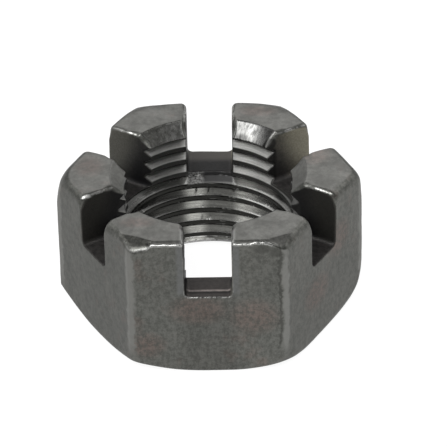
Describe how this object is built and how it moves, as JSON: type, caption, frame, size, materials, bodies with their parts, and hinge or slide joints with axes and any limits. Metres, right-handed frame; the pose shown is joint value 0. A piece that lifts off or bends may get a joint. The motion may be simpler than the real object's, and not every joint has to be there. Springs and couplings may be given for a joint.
{
  "type": "castle nut",
  "caption": "Slotted hexagon castle nut in dark forged steel: threaded bore, rounded prongs between cross slots for a cotter pin, chamfered bearing face.",
  "frame": {"origin": "on the bore axis, in the plane of the bearing face", "axes": "+Z along the bore from the bearing face to the slotted end; -Y is the flat whose slot faces the viewer; +X to the right, through a corner of the hexagon"},
  "size_m": [0.0418, 0.0364, 0.0211],
  "materials": {
    "dark_steel": "dark heat-scaled forged steel, lightly oiled, satin, brighter on worn edges and thread flanks"
  },
  "bodies": {
    "root": {"castle_nut": "dark_steel"}
  },
  "joints": []
}
